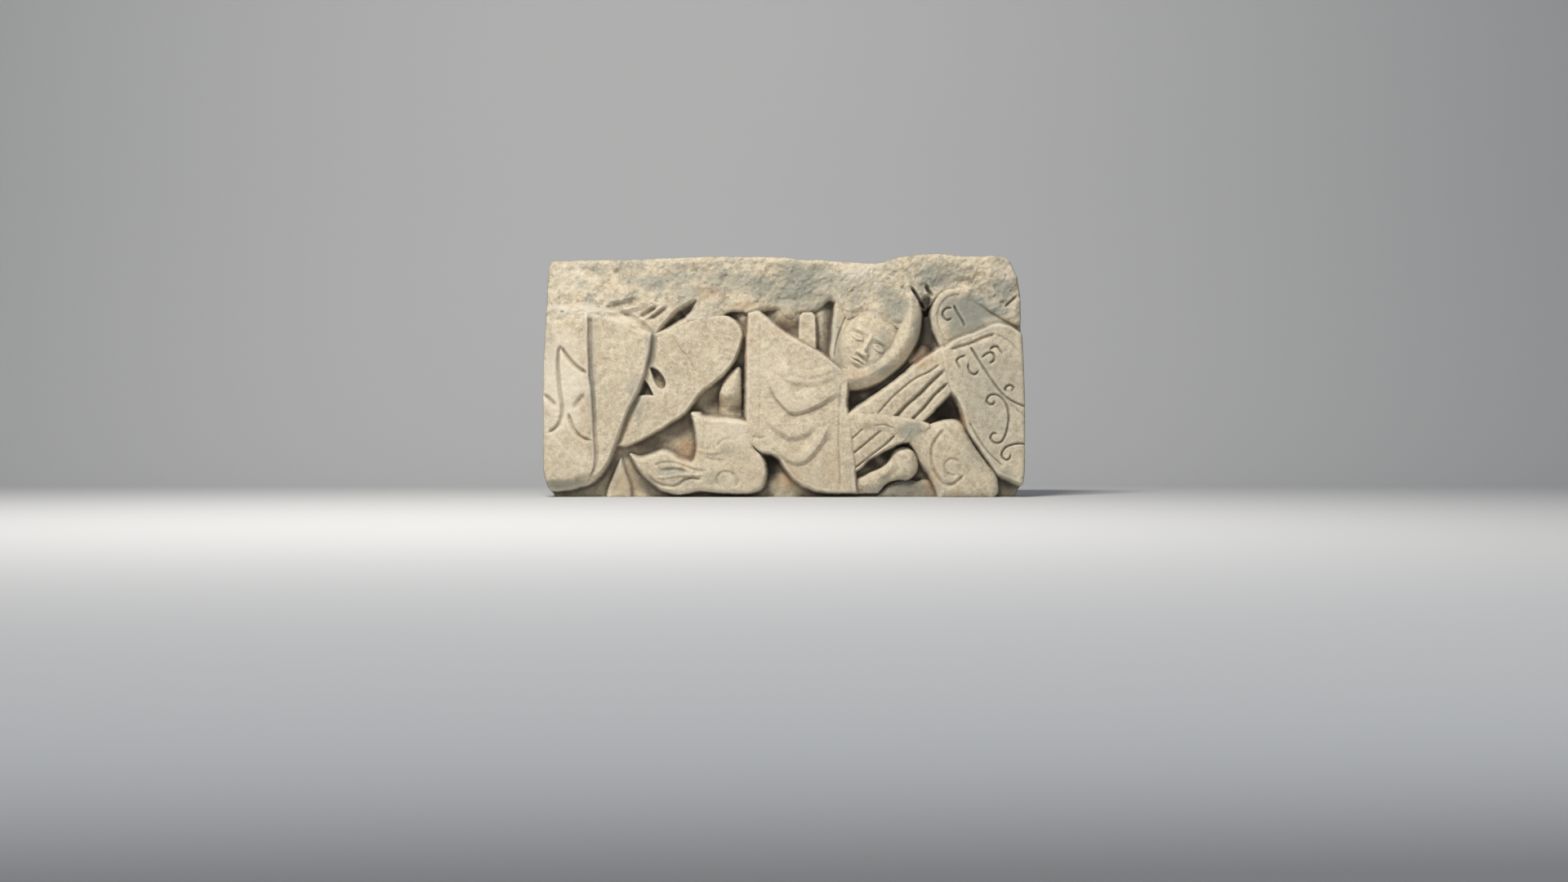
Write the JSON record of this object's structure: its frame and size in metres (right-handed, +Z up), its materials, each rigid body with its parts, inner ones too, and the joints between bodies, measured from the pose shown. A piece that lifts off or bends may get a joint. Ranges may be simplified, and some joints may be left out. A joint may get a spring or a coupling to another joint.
{
  "type": "stone relief panel",
  "caption": "Oblong block of pale limestone standing on edge, its front carved in relief with shields, a hanging cloak, a pleated tunic and a hooded head, the top broken.",
  "frame": {"origin": "under the middle of the block, on the face it stands on", "axes": "+X along the block to the viewer's right, +Y away from the carved front, +Z up"},
  "size_m": [1.184, 0.24, 0.6],
  "materials": {
    "limestone": "matt, weathered, with darker dirt in the recesses"
  },
  "bodies": {
    "root": {"relief_block": "limestone"}
  },
  "joints": []
}
